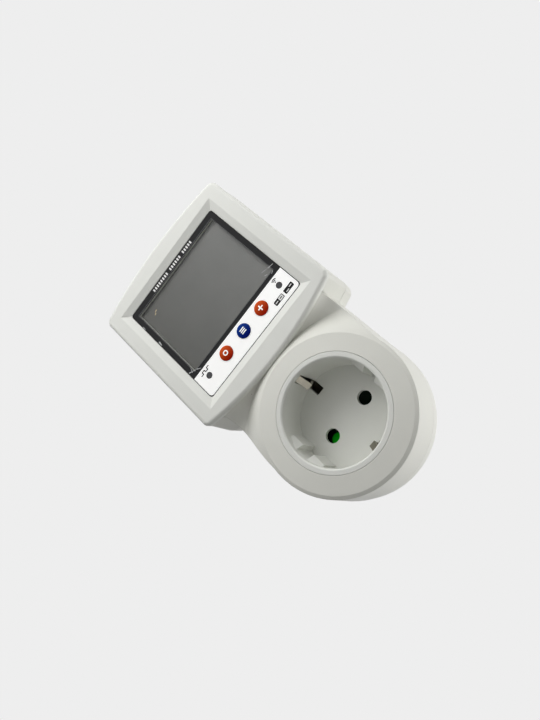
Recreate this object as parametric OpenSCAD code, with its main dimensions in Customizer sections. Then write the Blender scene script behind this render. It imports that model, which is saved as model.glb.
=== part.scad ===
// Plug-in energy monitor with a round earthed socket below and a display head above.
// Sizes are in millimetres. X runs to the right seen from the front, Z runs up to the head.
// Modules measure depth in Y from the front plane, which holds the bezel face and the socket rim.
// The module placed() then moves the part so that the origin is the centre of the plug's end face.

/* [Socket end] */
// Inside width of the socket well
well_d = 39.5; // [39:0.1:40.5]
// Depth of the well from its rim to its floor
well_depth = 17.5; // [17:0.1:19]
// Thickness of the well floor
floor_t = 2; // [1.5:0.1:3]
// Wall of the well moulding, seen as a ring inside the collar
insert_wall = 2.25; // [2:0.05:2.8]
// Width of the flat collar ring
collar_w = 7.1; // [6.8:0.1:8]
// How far the collar ring drops from the rim to its outer edge
collar_drop = 0.6; // [0:0.1:1]
// Depth of the slanted edge round the collar
collar_edge = 0.75; // [0.5:0.05:1.2]
// How far the round lower end stands out past the collar, at the seam
base_edge = 2.2; // [2:0.1:4]
// Distance between the pin centres
pin_pitch = 19; // [19:0.1:19.2]
// Pin holes in the well floor
pin_hole_d = 5.7; // [5.2:0.1:6]
// Distance from the socket axis to the flat face of the guide ribs
rib_flat = 17.2; // [16.5:0.1:18]
// Height of one guide rib, along the chord
rib_h = 5.6; // [4:0.1:6.5]
// Space between the two ribs of a pair
rib_gap = 5.6; // [4:0.1:7]
// Width of the slots for the earth clips
earth_slot_w = 3.6; // [3.4:0.1:4.4]

/* [Head] */
// Width of the head beside the overlay, at the seam
head_side = 10.25; // [10:0.05:14]
// Height of the head above and below the overlay, at the seam
head_ends = 11.9; // [11.5:0.1:14]
// Space between the collar's edge and the head's lowest point
head_lift = 1.3; // [1:0.1:4]
// Corner radius of the head at the seam
head_corner_r = 5.6; // [5:0.1:8]
// Radius of the bowed top edge
top_arc_r = 222; // [150:1:400]
// Radius of the bowed bottom edge
bottom_arc_r = 152; // [120:1:400]
// Depth of the bezel's edge
bezel_t = 2.5; // [2:0.1:3]
// Rounding of the bezel's front edge
bezel_round = 1.6; // [0.8:0.1:1.8]
// How far the bezel's edge stands out past the shell behind it
bezel_proud = 0.3; // [0.1:0.05:0.5]

/* [Display] */
// Depth of the overlay below the bezel face
overlay_sink = 1.3; // [0.8:0.1:1.6]
// Thickness of the printed overlay
film_t = 0.4; // [0.2:0.1:0.5]
// Width of the sloping step round the overlay
slope_w = 3.2; // [2:0.1:4]
// Width of the display that shows
view_w = 50.7; // [46:0.1:51]
// Height of the display that shows
view_h = 37.9; // [34:0.1:38.5]
// Border between the overlay's top edge and the display
view_border_top = 3.1; // [2.5:0.1:4]
// Border between the overlay's side edges and the display
view_border_side = 2.8; // [2.5:0.1:4]
// Height of the overlay below the display, which holds the keys
strip_h = 13.6; // [12.5:0.1:15]

/* [Keys and lamps] */
// Width of a key cap
key_d = 6; // [5:0.1:6.5]
// Distance between key centres
key_pitch = 11.15; // [9:0.05:11.5]
// Distance of the keys below the display
key_below = 6.5; // [6.3:0.1:7]
// How far a key presses in
key_travel = 0.5; // [0.3:0.05:0.5]
// Lamp windows
lamp_d = 2.8; // [2:0.1:3]
// Distance of the lamps from the overlay's side edges
lamp_in = 5.85; // [5:0.05:6.5]

/* [Body] */
// Depth of the body from the front plane to the rear face
body_depth = 31; // [30.6:0.1:34]
// Depth of the seam between front and rear shell
seam_depth = 20; // [19:0.1:21]
// Slant of the moulded side walls in degrees
draft = 2.7; // [1:0.1:3]
// Wall thickness of the mouldings
wall = 2.2; // [1.8:0.1:2.4]
// Depth of the scooped neck
valley_depth = 8.6; // [7.5:0.1:9]
// Width of the sweep from the collar's edge down to the neck
scoop_w = 9.9; // [8.5:0.1:10.5]
// Radius of the hollow sweep under the head
chin_r = 9; // [7.5:0.1:11]
// Rounding of the rear edge
back_round = 3.4; // [2.4:0.1:3.6]

/* [Plug] */
// Width of the plug boss
boss_d = 37.2; // [36:0.1:38]
// Length of the plug boss
boss_l = 17; // [16:0.1:18]
// Thickness of the boss's end wall
boss_end_t = 2.5; // [2:0.1:3]
// Plug pin diameter
plug_pin_d = 4.8; // [4.7:0.05:4.8]
// Length of the plug pins
plug_pin_l = 19; // [18:0.1:19.5]

/* [Inside] */
// Thickness of the circuit boards
board_t = 1.6; // [1:0.2:1.6]
// Space beside the main board, to the outside of the head
main_board_side = 6.4; // [6:0.1:8]
// Space above and below the main board, to the outside of the head
main_board_ends = 15.2; // [14.5:0.1:16]
// Thickness of the clear window over the display
window_t = 1.2; // [0.8:0.1:1.6]
// Thickness of the display glass
glass_t = 2.4; // [1.8:0.1:2.6]
// Height of the relay above its board
relay_h = 15.4; // [12:0.1:15.6]
// Thickness of the earth straps
strap_t = 0.8; // [0.6:0.1:1]
// Width of the earth straps along the plug
strap_w = 5.2; // [4:0.1:5.4]
// Width of the earth clips in the socket
clip_w = 2.6; // [2.2:0.1:2.8]
// How far the earth clips stand out of the well's wall
clip_rise = 3.9; // [3:0.1:4.2]
// Diameter of the insulated wires
wire_d = 2.6; // [2:0.1:2.8]

/* [Clearances] */
// Gap between fixed pieces that fit into each other
fit_gap = 0.1; // [0.05:0.01:0.15]
// Gap round pieces that move
move_gap = 0.3; // [0.2:0.05:0.35]
// Width of the visible seam
seam_gap = 0.2; // [0.1:0.05:0.3]

/* [Hidden] */
$fn = 72;
well_r = well_d / 2;
insert_r = well_r + insert_wall;
collar_r = insert_r + collar_w;
base_r = collar_r + base_edge;
boss_r = boss_d / 2;
pin_x = pin_pitch / 2;
pin_r = plug_pin_d / 2;
slip = 0.05;
more = 1;

// Depths that several pieces share
y_floor = well_depth;
y_under = well_depth + floor_t;
y_rear = body_depth;
y_inner = body_depth - wall;
y_end = body_depth + boss_l;
y_film = overlay_sink + film_t;
y_window = overlay_sink + window_t;
y_plate = bezel_t + 0.7;
y_glass = y_plate + slip;
y_guide = y_glass + glass_t + slip;
y_display_board = 8;
y_display_back = y_display_board + board_t;
main_post_h = 1.2;
y_main_back = y_inner - main_post_h;
y_main = y_main_back - board_t;

// Outline of the head: its size from the overlay's, centres of its bowed edges and of its corners
overlay_w = view_w + 2 * view_border_side;
overlay_h = view_border_top + view_h + strip_h;
head_w = overlay_w + 2 * head_side;
head_h = overlay_h + 2 * head_ends;
head_bottom = collar_r + head_lift;
head_top = head_bottom + head_h;
head_x = head_w / 2;
head_z = (head_top + head_bottom) / 2;
corner_in = head_corner_r * 0.93;
corner_x = head_x - corner_in;
neck_x = base_r - 0.25;
top_c = head_top - top_arc_r;
bottom_c = head_bottom + bottom_arc_r;
corner_top = top_c + sqrt(pow(top_arc_r - corner_in, 2) - pow(corner_x, 2));
corner_bottom = bottom_c - sqrt(pow(bottom_arc_r - corner_in, 2) - pow(corner_x, 2));

// The side walls slant inward on both sides of the seam
function front_inset(y) = (seam_depth - y) * tan(draft);
function rear_inset(y) = (y - seam_depth) * tan(draft);
edge_inset = front_inset(bezel_t);
shell_gap = wall + fit_gap;

// Display layout, measured from the overlay's centre
view_top = overlay_h / 2 - view_border_top;
view_mid = view_top - view_h / 2;
key_drop = key_below + view_h - view_top;
lamp_x = overlay_w / 2 - lamp_in;
glass_margin = 2;
glass_w = view_w + 2 * glass_margin;
glass_h = view_h + 2 * glass_margin;
board_top = view_mid + glass_h / 2 + 0.2;
board_bottom = -overlay_h / 2 - 1.7;
display_board_side = shell_gap + 2.8;
display_board_w = head_w - 2 * display_board_side;
display_post_d = 5;
display_post_x = display_board_w / 2 - 2.3;
display_posts = [overlay_h / 2 - 5.3, 2.3 - overlay_h / 2];
key_hole_d = key_d + 2 * move_gap;
key_flange_d = key_d + 1.6;
key_flange_t = 0.8;
key_edge = overlay_sink - 0.3;
key_dome = 0.5;
y_flange = y_plate + move_gap;
y_switch = y_flange + key_flange_t + key_travel + move_gap;
plunger_d = 3.4;
plunger_reach = 1.1;
switch_w = 6;
film_corner = 1.2;

// Screws
body_screw_d = 3;
insert_screw_d = 2.6;
board_screw_d = 1.9;
column_d = 6.4;
top_screw_x = head_x - 7.4;
top_screw_z = head_top - 7.8;
low_screw_r = (insert_r + base_r - wall) / 2 + 0.1;
body_screws_at = [
    [top_screw_x, top_screw_z],
    [-top_screw_x, top_screw_z],
    [low_screw_r * cos(45), -low_screw_r * sin(45)],
    [-low_screw_r * cos(45), -low_screw_r * sin(45)]
];
screw_head_y = seam_depth + 3.5;
ear_x = insert_r + 3;
ear_r = 3.5;
ear_post_r = 3;
ear_y = 14;
ear_t = 2.5;
main_board_w = head_w - 2 * main_board_side;
main_board_h = head_h - 2 * main_board_ends;
main_post_x = main_board_w / 2 - 3;
main_board_z = head_z + 0.4;
main_posts = [main_board_h / 2 - 3, 3 - main_board_h / 2];

// Shutter, contacts and earth straps
skirt_in = 13.7;
skirt_t = 1.2;
skirt_l = 6.3;
y_skirt = y_under + skirt_l;
shutter_r = skirt_in - 0.5;
shutter_front = y_under + 0.7;
shutter_back = y_skirt - 1.6;
hub_r = 3.4;
post_r = 1.5;
post_gap = 0.1;
blade_half_angle = 21;
ramp_rise = 2.8;
carrier_t = 1.6;
y_carrier = y_skirt + slip;
y_tube = y_carrier + carrier_t;
tulip_in = pin_r + slip;
tulip_out = 3.4;
carrier_hole_r = tulip_out - 0.15;
tulip_l = 9.3;
y_tulip = y_tube + 0.8;
y_tulip_end = y_tulip + tulip_l;
sleeve_in = tulip_out + move_gap;
sleeve_out = sleeve_in + 0.9;
boss_bore = 15.6;
tail_w = 4;
tail_t = 0.8;
tail_z = 7.5;
pin_flange_r = 3.6;
pin_flange_t = 2;
pin_neck_r = pin_r - 0.2;
pin_tail_l = 2.5;
y_boss_inner = y_end - boss_end_t;
strap_run = boss_r - strap_t / 2 - 0.1;
strap_out = well_r + 0.7;
strap_bulge = well_r - clip_rise + strap_t / 2;
strap_end = y_end - 3.5;
slot_from = 2.6;
slot_low = skirt_in + skirt_t + 0.1;

// Wires run up through the neck in front of the rear wall
wire_r = wire_d / 2;
wire_y = y_inner - wire_r - 0.2;
wire_turn_z = head_bottom + 8;
terminal_z = main_board_z - main_board_h / 2 + 4;
terminal_h = 4;
wire_end_y = y_main - terminal_h - wire_r;

// Helpers: everything below is drawn in depth from the front plane

module placed() {
    translate([0, -y_end, 0]) children();
}

// Extrudes an outline drawn in X and Z from depth y0 to depth y1
module plan(y0, y1) {
    translate([0, y1, 0]) rotate([90, 0, 0]) linear_extrude(y1 - y0) children();
}

// Turns a profile drawn as radius and depth about the socket axis
module turned() {
    rotate([-90, 0, 0]) rotate_extrude() children();
}

// Round bar along the depth at x, z
module bar(x, z, r, y0, y1) {
    translate([x, y0, z]) rotate([-90, 0, 0]) cylinder(r = r, h = y1 - y0);
}

// Round bar that narrows or widens along the depth
module cone_bar(x, z, r0, r1, y0, y1) {
    translate([x, y0, z]) rotate([-90, 0, 0]) cylinder(r1 = r0, r2 = r1, h = y1 - y0);
}

// Block centred on x, z
module block(x, z, w, h, y0, y1) {
    translate([x - w / 2, y0, z - h / 2]) cube([w, y1 - y0, h]);
}

// Rectangle with round corners, in X and Z
module soft_rect(w, h, r) {
    square([w - 2 * r, h], center = true);
    square([w, h - 2 * r], center = true);
    for (x = [-1, 1], z = [-1, 1])
        translate([x * (w / 2 - r), z * (h / 2 - r)]) circle(r);
}

// Both sides, or both ends, of a mirrored piece
module both_x() {
    children();
    mirror([1, 0, 0]) children();
}

module both_z() {
    children();
    mirror([0, 0, 1]) children();
}

// Edge of a slab as a list of depths, each with the distance that the edge is drawn in there
function round_edge(y0, y1, in0, in1, q) = concat(
    [[y0, in0]], [for (a = [0 : 22.5 : 90]) [y1 - q + q * sin(a), in1 + q * (1 - cos(a))]]
);

// The same edge made longer at both ends, for shapes that another one trims
function longer(edge) = concat(
    [edge[0] - [more, 0]], edge, [edge[len(edge) - 1] + [more, 0]]
);

function half_section(r, edge) = concat(
    [[0, edge[0][0]]], [for (e = edge) [r - e[1], e[0]]], [[0, edge[len(edge) - 1][0]]]
);

function full_section(w, edge) = concat(
    [for (e = edge) [w - e[1], e[0]]], [for (k = [len(edge) - 1 : -1 : 0]) [edge[k][1] - w, edge[k][0]]]
);

// Solid of revolution about an axis through x, z, with the edge at radius r
module round_slab(x, z, r, edge) {
    translate([x, 0, z]) turned() polygon(half_section(r, edge));
}

// Head outline: straight sides, bowed top and bottom, rounded corners
module head_shape(edge) {
    y_mid = (edge[0][0] + edge[len(edge) - 1][0]) / 2;
    intersection() {
        translate([0, 0, head_z - head_w]) linear_extrude(2 * head_w) polygon(full_section(head_x, edge));
        round_slab(0, top_c, top_arc_r, longer(edge), $fn = 240);
        round_slab(0, bottom_c, bottom_arc_r, longer(edge), $fn = 240);
        union() {
            block(0, head_z, 2 * corner_x, 2 * head_w, y_mid - head_w, y_mid + head_w);
            block(0, (corner_top + corner_bottom) / 2, 2 * head_w, corner_top - corner_bottom, y_mid - head_w,
                y_mid + head_w);
            for (x = [-corner_x, corner_x], z = [corner_bottom, corner_top])
                round_slab(x, z, head_corner_r, longer(edge));
        }
    }
}

// Slab of the head outline whose edge is drawn in by in0 at y0 and by in1 at y1
module head_slab(y0, y1, in0, in1) {
    head_shape([[y0, in0], [y1, in1]]);
}

// Round lower end with the same kind of slanting edge
module disc_slab(y0, y1, in0, in1) {
    cone_bar(0, 0, base_r - in0, base_r - in1, y0, y1);
}

// Neck from the middle of the disc to the middle of the head, a little narrower than the disc
module neck_slab(y0, y1, in0, in1) {
    linear_extrude(head_z) polygon(full_section(neck_x, [[y0, in0], [y1, in1]]));
}

module body_slab(y0, y1, in0, in1) {
    disc_slab(y0, y1, in0, in1);
    neck_slab(y0, y1, in0, in1);
    head_slab(y0, y1, in0, in1);
}

// Front shell: collar, scooped neck and the front box of the head

y_disc = collar_drop + collar_edge;
disc_r = base_r - front_inset(y_disc);
y_split = seam_depth - seam_gap / 2;
// Hollow curves end just below the neck, so that they cross its face instead of touching it
dip = 0.06;

module collar_profile() {
    polygon([
        [0, 0], [insert_r, 0], [collar_r, collar_drop], [disc_r, y_disc], [disc_r - more, y_disc + more],
        [0, y_disc + more]
    ]);
}

// Depth of the sweep at a share t of its width: it goes on at the slant of the collar's edge and ends level
function scoop_depth(t) =
    y_disc
    + scoop_w * collar_edge / (disc_r - collar_r) * t * (1 - t) * (1 - t)
    + (valley_depth + dip - y_disc) * t * t * (3 - 2 * t);

// Curved sweep from the collar's edge down to the neck
module scoop_profile() {
    steps = 16;
    polygon(concat(
        [[collar_r - more, valley_depth + more], [collar_r - more, y_disc]],
        [for (k = [0 : steps]) [disc_r + scoop_w * k / steps, scoop_depth(k / steps)]],
        [[disc_r + scoop_w, valley_depth + more]]
    ));
}

// Hollow sweep from the bezel's lower edge down to the neck
module chin_profile() {
    top_r = bottom_arc_r - edge_inset;
    root = 4;
    drop = valley_depth + dip - bezel_t;
    reach = sqrt(pow(chin_r, 2) - pow(chin_r - drop, 2));
    difference() {
        translate([top_r - root, bezel_t]) square([root + reach, valley_depth + more - bezel_t]);
        translate([top_r + reach, valley_depth + dip - chin_r]) circle(chin_r);
    }
}

// Neck with the scoop at its lower end, kept clear of the bezel, and the chin's sweep at its upper end
module neck_outside(y1) {
    bezel_clear = edge_inset - bezel_proud - fit_gap;
    intersection() {
        neck_slab(0, y1, front_inset(0), front_inset(y1));
        union() {
            block(0, head_z / 2, head_w, head_w, valley_depth, y1 + more);
            difference() {
                turned() scoop_profile();
                head_slab(-more, bezel_t, bezel_clear, bezel_clear);
            }
            translate([0, 0, bottom_c]) turned($fn = 240) chin_profile();
        }
    }
}

// The outer shape runs past the seam and is cut there by one plane
module front_outside() {
    y1 = seam_depth + more;
    difference() {
        union() {
            head_slab(bezel_t, y1, edge_inset, front_inset(y1));
            disc_slab(y_disc, y1, front_inset(y_disc), front_inset(y1));
            turned() collar_profile();
            neck_outside(y1);
        }
        block(0, head_z, 4 * head_w, 4 * head_w, y_split, y1 + more);
    }
}

module front_inside() {
    y_collar = collar_drop + wall;
    y_neck = valley_depth + wall;
    y_out = seam_depth + more;
    head_slab(-more, y_out, front_inset(-more) + wall, front_inset(y_out) + wall);
    disc_slab(y_collar, y_out, front_inset(y_collar) + wall, front_inset(y_out) + wall);
    neck_slab(y_neck, y_out, front_inset(y_neck) + wall, front_inset(y_out) + wall);
}

// Screw columns, and the posts for the well moulding
module front_posts() {
    for (p = body_screws_at) bar(p[0], p[1], column_d / 2, bezel_t + 3, y_split);
    both_x() bar(ear_x, 0, ear_post_r, collar_drop + more, ear_y);
}

module front_shell() {
    sleeve_l = 8;
    color([0.86, 0.87, 0.84]) placed() difference() {
        union() {
            difference() {
                front_outside();
                front_inside();
            }
            bar(0, 0, insert_r + fit_gap + 1.8, more, sleeve_l);
            front_posts();
        }
        bar(0, 0, insert_r + fit_gap, -more, seam_depth);
        for (p = body_screws_at)
            bar(p[0], p[1], body_screw_d / 2 + slip, seam_depth - 12, seam_depth + more);
        both_x() bar(ear_x, 0, insert_screw_d / 2 + slip, ear_y - 7, ear_y + more);
    }
}

// Rear shell: shallow back with a rounded edge and the plug boss

y_lip = seam_depth - 1.8;
y_lip_root = seam_depth + 2;
lip_t = 1.2;

module rear_outside() {
    y0 = seam_depth + seam_gap / 2;
    edge = round_edge(y0, y_rear, rear_inset(y0), rear_inset(y_rear - back_round), back_round);
    intersection() {
        union() {
            head_shape(longer(edge));
            round_slab(0, 0, base_r, longer(edge));
            linear_extrude(head_z) polygon(full_section(neck_x, longer(edge)));
        }
        block(0, head_z, 4 * head_w, 4 * head_w, y0, y_rear);
    }
}

// Shape that fills a wall socket's recess: round, with grooves for the guide ribs
module boss_outside() {
    ease = 1;
    bar(0, 0, boss_r, y_rear - more, y_end - ease);
    cone_bar(0, 0, boss_r, boss_r - ease, y_end - ease, y_end);
}

module rib_groove() {
    groove_h = rib_h + 1;
    for (z = [-1, 1])
        translate([rib_flat - 0.3, y_rear, z * (rib_gap + rib_h) / 2 - groove_h / 2])
            cube([boss_r, boss_l + more, groove_h]);
}

module strap_slot() {
    slot_w = strap_w + 0.4;
    z0 = strap_run - strap_t / 2 - 0.1;
    translate([-slot_w / 2, y_inner - more, z0]) cube([slot_w, wall + 2 * more, strap_t + 0.2]);
    translate([-slot_w / 2, y_rear, z0]) cube([slot_w, strap_end - y_rear + 0.6, boss_r]);
}

// Columns for the body screws, sunk from the rear, and posts for the main board
module rear_posts() {
    for (p = body_screws_at) bar(p[0], p[1], column_d / 2 + 1, seam_depth + slip, y_inner + more);
    main_post_places() bar(0, 0, 2.5, y_main_back + slip, y_inner + more);
}

module main_post_places() {
    for (x = [-main_post_x, main_post_x], z = main_posts) translate([x, 0, main_board_z + z]) children();
}

module rear_shell() {
    inner = shell_gap + lip_t;
    color([0.84, 0.85, 0.82]) placed() difference() {
        union() {
            difference() {
                union() {
                    rear_outside();
                    difference() {
                        body_slab(y_lip, seam_depth + 1, shell_gap, shell_gap);
                        for (p = body_screws_at) bar(p[0], p[1], column_d / 2 + 0.4, 0, seam_depth);
                    }
                }
                body_slab(y_lip - more, y_lip_root + more / 2, inner, inner);
                body_slab(y_lip_root, y_inner, wall, wall);
            }
            rear_posts();
            difference() {
                boss_outside();
                both_x() rib_groove();
            }
        }
        bar(0, 0, boss_bore, y_inner - more, y_boss_inner);
        both_z() strap_slot();
        for (x = [-pin_x, pin_x]) bar(x, 0, pin_neck_r + slip, y_boss_inner - more, y_end + more);
        for (p = body_screws_at) {
            bar(p[0], p[1], body_screw_d / 2 + 0.2, seam_depth - more, y_rear + more);
            bar(p[0], p[1], 3.1, screw_head_y, y_rear + more);
        }
        main_post_places() bar(0, 0, board_screw_d / 2 + slip, y_main_back - more, y_rear - 0.8);
    }
}

// Head bezel: rounded edge, sloping step, ledge for the overlay and posts for the display board

function bezel_edge() = concat(
    [for (a = [90 : -15 : 0]) [bezel_round * (1 - sin(a)), edge_inset - bezel_proud + bezel_round * (1 - cos(a))]],
    [[bezel_t, edge_inset - bezel_proud]]
);

module bezel_step() {
    w = overlay_w / 2;
    h = overlay_h / 2;
    rise = slope_w / overlay_sink;
    out = slope_w + rise * more;
    translate([0, 0, head_z]) intersection() {
        translate([0, 0, -head_top]) linear_extrude(2 * head_top)
            polygon([[-w - out, -more], [w + out, -more], [w, overlay_sink], [-w, overlay_sink]]);
        rotate([90, 0, 90]) translate([0, 0, -head_x]) linear_extrude(2 * head_x)
            polygon([[-more, -h - out], [-more, h + out], [overlay_sink, h], [overlay_sink, -h]]);
    }
}

module key_places() {
    for (x = [-key_pitch, 0, key_pitch]) translate([x, 0, head_z - key_drop]) children();
}

module lamp_places() {
    for (x = [-lamp_x, lamp_x]) translate([x, 0, head_z - key_drop]) children();
}

module display_post_places() {
    for (x = [-display_post_x, display_post_x], z = display_posts) translate([x, 0, head_z + z]) children();
}

module head_bezel() {
    lip_in = edge_inset + shell_gap;
    lip_l = 3;
    color([0.87, 0.88, 0.85]) placed() difference() {
        union() {
            head_shape(bezel_edge());
            head_slab(bezel_t - more, y_plate, lip_in, lip_in);
            difference() {
                head_slab(bezel_t - more, bezel_t + lip_l, lip_in, lip_in);
                head_slab(y_plate, bezel_t + lip_l + more, lip_in + 1.2, lip_in + 1.2);
                for (p = body_screws_at) bar(p[0], p[1], column_d / 2 + 0.4, y_plate, bezel_t + lip_l + more);
            }
            display_post_places() bar(0, 0, display_post_d / 2, y_plate - more, y_display_board - slip);
        }
        bezel_step();
        translate([0, 0, head_z]) plan(overlay_sink - 0.01, y_film) soft_rect(overlay_w, overlay_h, film_corner);
        translate([0, 0, head_z + view_mid]) plan(0, y_plate + more) square([view_w, view_h], center = true);
        key_places() bar(0, 0, key_hole_d / 2, 0, y_plate + more);
        lamp_places() bar(0, 0, lamp_d / 2, 0, y_plate + more);
        display_post_places() bar(0, 0, board_screw_d / 2 + slip, y_display_board - 4.5, y_display_board + more);
    }
}

// Display stack

module display_overlay() {
    color([0.2, 0.2, 0.21]) placed() difference() {
        translate([0, 0, head_z]) plan(overlay_sink, y_film - slip)
            soft_rect(overlay_w - 2 * fit_gap, overlay_h - 2 * fit_gap, film_corner);
        translate([0, 0, head_z + view_mid]) plan(0, y_film + more) square([view_w, view_h], center = true);
        key_places() bar(0, 0, key_hole_d / 2, 0, y_film + more);
        lamp_places() bar(0, 0, lamp_d / 2, 0, y_film + more);
    }
}

module display_window() {
    color([0.6, 0.62, 0.62, 0.6]) placed()
        translate([0, 0, head_z + view_mid]) plan(overlay_sink, y_window)
        square([view_w - 2 * fit_gap, view_h - 2 * fit_gap], center = true);
}

// The front glass stands up into the bezel's opening, the wider rear glass rests behind the bezel
module lcd_panel() {
    color([0.45, 0.46, 0.45]) placed() translate([0, 0, head_z + view_mid]) {
        plan(y_window + slip, y_glass + glass_t / 2)
            square([view_w - 2 * fit_gap, view_h - 2 * fit_gap], center = true);
        plan(y_glass, y_glass + glass_t) square([glass_w, glass_h], center = true);
    }
}

module light_guide() {
    color([0.95, 0.96, 0.97]) placed()
        translate([0, 0, head_z + view_mid]) plan(y_guide, y_display_board - slip)
        square([glass_w - 1, glass_h], center = true);
}

module display_board() {
    color([0.1, 0.35, 0.18]) placed() difference() {
        translate([-display_board_w / 2, y_display_board, head_z + board_bottom])
            cube([display_board_w, board_t, board_top - board_bottom]);
        display_post_places() bar(0, 0, board_screw_d / 2 + fit_gap, 0, seam_depth);
        for (p = body_screws_at) bar(p[0], p[1], column_d / 2 + 0.5, 0, seam_depth);
    }
}

// Keys: domed cap with a flange behind the bezel, and the switch plunger that it pushes

module key_cap() {
    r = key_d / 2;
    ball = (r * r + key_dome * key_dome) / (2 * key_dome);
    bar(0, 0, key_flange_d / 2, y_flange, y_flange + key_flange_t);
    bar(0, 0, r, key_edge, y_flange + key_flange_t / 2);
    intersection() {
        bar(0, 0, r, key_edge - key_dome - more, key_edge + 0.1);
        translate([0, key_edge - key_dome + ball, 0]) sphere(ball);
    }
}

module key_plunger() {
    y0 = y_flange + key_flange_t + 0.02;
    bar(0, 0, plunger_d / 2, y0, y_switch + plunger_reach);
}

module at_key(place) {
    placed() translate([place * key_pitch, 0, head_z - key_drop]) children();
}

module plus_button() {
    color([0.77, 0.2, 0.06]) at_key(1) key_cap();
}

module mode_button() {
    color([0.02, 0.12, 0.45]) at_key(0) key_cap();
}

module set_button() {
    color([0.77, 0.2, 0.06]) at_key(-1) key_cap();
}

module plus_plunger() {
    color([0.15, 0.15, 0.16]) at_key(1) key_plunger();
}

module mode_plunger() {
    color([0.15, 0.15, 0.16]) at_key(0) key_plunger();
}

module set_plunger() {
    color([0.15, 0.15, 0.16]) at_key(-1) key_plunger();
}

module tact_switches() {
    color([0.25, 0.25, 0.26]) placed() key_places() difference() {
        block(0, 0, switch_w, switch_w, y_switch, y_display_board - slip);
        bar(0, 0, plunger_d / 2 + move_gap, y_switch - more, y_switch + plunger_reach + key_travel + move_gap);
    }
}

module light_pipes() {
    color([0.3, 0.31, 0.32]) placed() lamp_places() {
        bar(0, 0, lamp_d / 2 - slip, overlay_sink + slip, y_glass + 2);
        bar(0, 0, lamp_d / 2 + 0.8, y_glass, y_glass + 0.8);
    }
}

module status_leds() {
    color([0.9, 0.9, 0.8]) placed() lamp_places()
        block(0, 0, 3, 3, y_glass + 2 + slip, y_display_board - slip);
}

module wifi_module() {
    place_x = 17;
    place_z = head_z + 13;
    base_w = 16;
    base_h = 24;
    y_base = y_display_back + 0.9;
    can_w = 14;
    can_h = 16;
    can_t = 2.1;
    color([0.5, 0.52, 0.55]) placed() {
        block(place_x, place_z, base_w, base_h, y_display_back + slip, y_base);
        block(place_x, place_z - 3, can_w, can_h, y_base, y_base + can_t);
    }
}

// Main board and what stands on it

module ribbon_cable() {
    ribbon_w = 12.7;
    ribbon_t = 0.9;
    color([0.75, 0.75, 0.78]) placed()
        block(-22, head_z - 1, ribbon_w, ribbon_t, y_display_back + slip, y_main - slip);
}

module main_board() {
    color([0.1, 0.38, 0.2]) placed() difference() {
        block(0, main_board_z, main_board_w, main_board_h, y_main, y_main_back);
        main_post_places() bar(0, 0, board_screw_d / 2 + fit_gap, y_main - more, y_main_back + more);
    }
}

module power_relay() {
    relay_l = 29;
    relay_w = 12.7;
    color([0.12, 0.13, 0.15]) placed() block(-13.5, head_z + 12, relay_l, relay_w, y_main - relay_h, y_main - slip);
}

module supply_capacitor() {
    box_l = 18;
    box_w = 8.5;
    box_h = 14.4;
    color([0.85, 0.7, 0.2]) placed() block(17, head_z - 4, box_l, box_w, y_main - box_h, y_main - slip);
}

module smoothing_capacitor() {
    can_r = 4;
    can_h = 12;
    color([0.15, 0.2, 0.4]) placed() bar(22, head_z - 14, can_r, y_main - can_h, y_main - slip);
}

module varistor() {
    disc_r = 5;
    disc_t = 4;
    leg_r = 0.4;
    leg_l = 6;
    stand = 3;
    color([0.1, 0.3, 0.6]) placed() translate([7, 0, head_z - 13.6]) {
        translate([-disc_t / 2, y_main - stand - disc_r, 0]) rotate([0, 90, 0]) cylinder(r = disc_r, h = disc_t);
        for (z = [-disc_r / 2, disc_r / 2]) bar(0, z, leg_r, y_main - leg_l, y_main - slip);
    }
}

module metering_chip() {
    chip_l = 10;
    chip_w = 6;
    chip_t = 1.8;
    color([0.08, 0.08, 0.09]) placed() block(17, head_z + 12, chip_l, chip_w, y_main - chip_t, y_main - slip);
}

module current_shunt() {
    span = 16;
    rise = 5;
    thick = 1.2;
    strip_w = 5;
    place_x = -16;
    place_z = head_z - 9;
    color([0.72, 0.45, 0.25]) placed() difference() {
        block(place_x, place_z, span, strip_w, y_main - rise, y_main - slip);
        block(place_x, place_z, span - 2 * thick, strip_w + more, y_main - rise + thick, y_main + more);
    }
}

terminal_x = [12.5, 2.5, -7];

module wire_terminals() {
    terminal_w = 5;
    color([0.75, 0.6, 0.3]) placed() for (x = terminal_x)
        block(x, terminal_z, terminal_w, terminal_h, y_main - terminal_h, y_main - slip);
}

// Socket: the well moulding, the shutter and the live parts

module guide_rib() {
    front_end = 1;
    slope_end = 6;
    intersection() {
        bar(0, 0, well_r + 0.2, 0, y_floor + 0.2);
        for (z = [-1, 1])
            translate([0, 0, z * (rib_gap / 2 + rib_h / 2) - rib_h / 2]) linear_extrude(rib_h)
                polygon([
                    [well_r + 1, front_end], [rib_flat, slope_end],
                    [rib_flat, y_floor + more], [well_r + 1, y_floor + more]
                ]);
    }
}

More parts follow.
